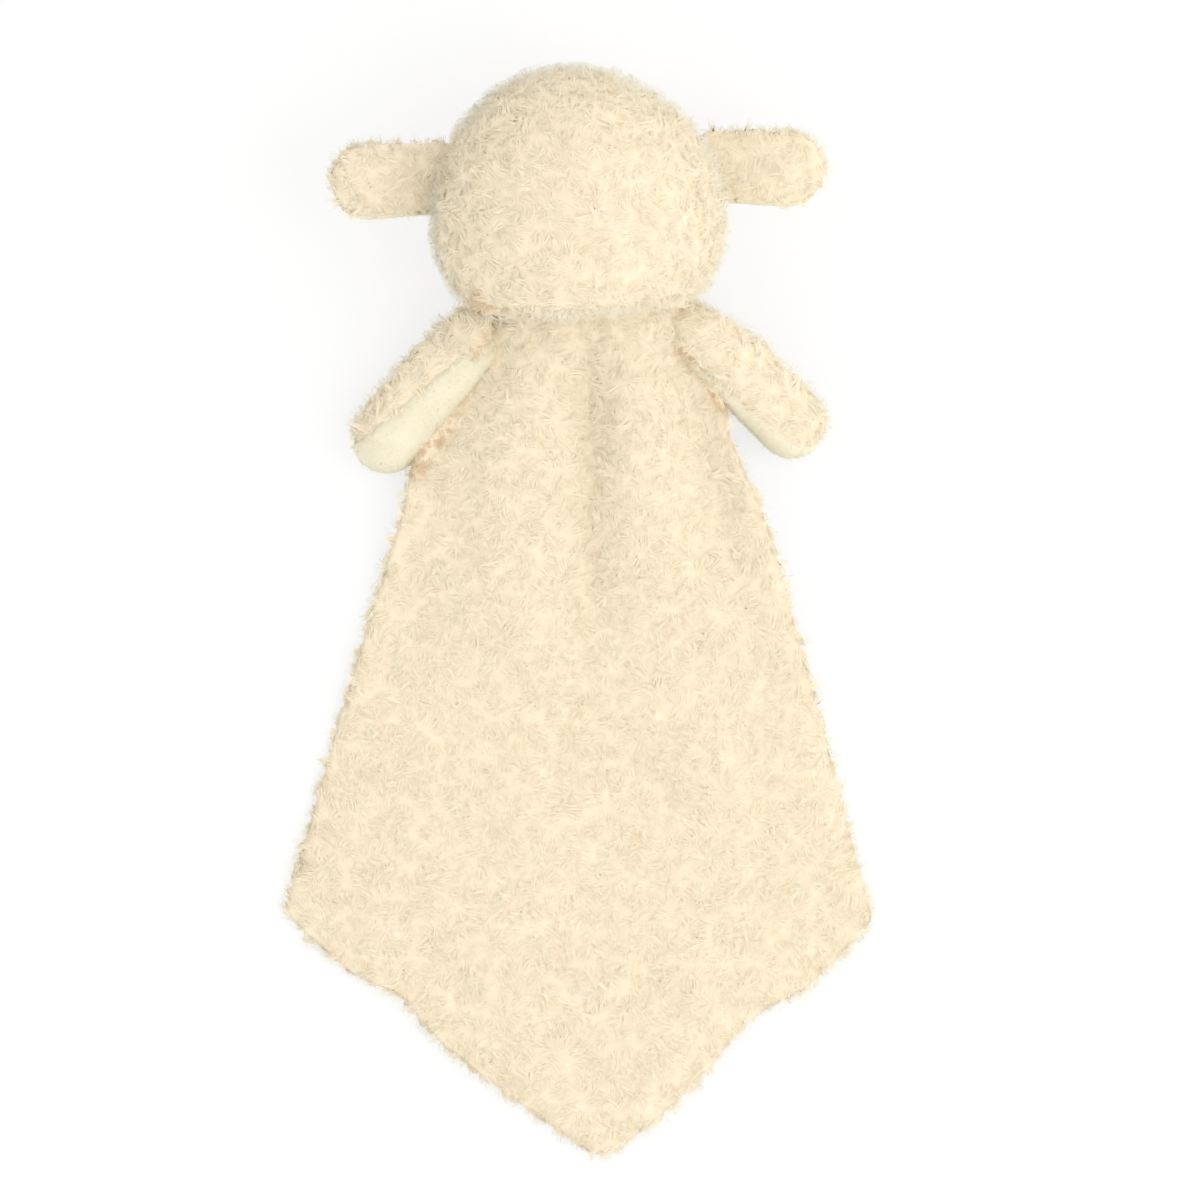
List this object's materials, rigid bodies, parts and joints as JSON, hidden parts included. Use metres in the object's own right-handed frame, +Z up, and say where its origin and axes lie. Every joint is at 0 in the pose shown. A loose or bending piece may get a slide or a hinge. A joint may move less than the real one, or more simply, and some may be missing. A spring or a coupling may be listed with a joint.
{
  "type": "plush lamb comforter",
  "caption": "Baby comforter: a stuffed lamb's head with ears and short arms on a kite-shaped blanket of curly fleece with a velour underside, lying face down.",
  "frame": {"origin": "on the table under the middle of the toy's box, as it lies face down", "axes": "+Z up from the table, out of the toy's back; +Y towards the crown; +X towards the lamb's right arm"},
  "size_m": [0.213, 0.396, 0.0882],
  "materials": {
    "sherpa_fleece": "curly knitted pile, matt",
    "velour": "short brushed pile, soft sheen",
    "polyester_fibre": "loose white filling",
    "brown_thread": "satin stitch embroidery",
    "pink_thread": "satin stitch embroidery"
  },
  "bodies": {
    "blanket": {"blanket_back_fleece": "sherpa_fleece", "blanket_front_lining": "velour"},
    "neck": {"neck_gather": "sherpa_fleece"},
    "head": {"head_fleece": "sherpa_fleece", "face_panel": "velour", "head_stuffing": "polyester_fibre", "left_eye": "brown_thread", "right_eye": "brown_thread", "nose_and_mouth": "pink_thread"},
    "left_ear": {"left_ear_fleece": "sherpa_fleece", "left_ear_lining": "velour", "left_ear_stuffing": "polyester_fibre"},
    "left_shoulder": {"left_shoulder_tab": "sherpa_fleece"},
    "left_arm": {"left_arm_fleece": "sherpa_fleece", "left_arm_lining": "velour", "left_arm_stuffing": "polyester_fibre"},
    "right_ear": {"right_ear_fleece": "sherpa_fleece", "right_ear_lining": "velour", "right_ear_stuffing": "polyester_fibre"},
    "right_shoulder": {"right_shoulder_tab": "sherpa_fleece"},
    "right_arm": {"right_arm_fleece": "sherpa_fleece", "right_arm_lining": "velour", "right_arm_stuffing": "polyester_fibre"}
  },
  "joints": [
    {"name": "head_turn", "type": "hinge", "parent": "blanket", "child": "neck", "pos_m": [0.0015, 0.11003, 0.038], "axis": [-0.0384, 0.9993, 0], "range_deg": [-25, 25], "stiffness_Nm_per_rad": 0.03},
    {"name": "head_nod", "type": "hinge", "parent": "neck", "child": "head", "pos_m": [0.0015, 0.11003, 0.038], "axis": [0.9993, 0.0384, 0], "range_deg": [-25, 30], "stiffness_Nm_per_rad": 0.03},
    {"name": "left_ear_flop", "type": "hinge", "parent": "head", "child": "left_ear", "pos_m": [-0.0549, 0.1549, 0.0392], "axis": [-0.0558, 0.9984, 0], "range_deg": [-55, 55], "stiffness_Nm_per_rad": 0.004},
    {"name": "right_ear_flop", "type": "hinge", "parent": "head", "child": "right_ear", "pos_m": [0.05429, 0.15909, 0.0392], "axis": [-0.0314, -0.9995, 0], "range_deg": [-55, 55], "stiffness_Nm_per_rad": 0.004},
    {"name": "left_arm_flap", "type": "hinge", "parent": "blanket", "child": "left_shoulder", "pos_m": [-0.04158, 0.09517, 0.02561], "axis": [-0.766, 0.6428, 0], "range_deg": [-40, 45], "stiffness_Nm_per_rad": 0.01},
    {"name": "left_arm_raise", "type": "hinge", "parent": "left_shoulder", "child": "left_arm", "pos_m": [-0.04158, 0.09517, 0.02561], "axis": [0.2003, 0.2387, -0.9502], "range_deg": [0, 45], "stiffness_Nm_per_rad": 0.01},
    {"name": "right_arm_flap", "type": "hinge", "parent": "blanket", "child": "right_shoulder", "pos_m": [0.0469, 0.09768, 0.02674], "axis": [-0.7071, -0.7071, 0], "range_deg": [-40, 45], "stiffness_Nm_per_rad": 0.01},
    {"name": "right_arm_raise", "type": "hinge", "parent": "right_shoulder", "child": "right_arm", "pos_m": [0.0469, 0.09768, 0.02674], "axis": [0.2376, -0.2376, 0.9419], "range_deg": [0, 40], "stiffness_Nm_per_rad": 0.01}
  ]
}
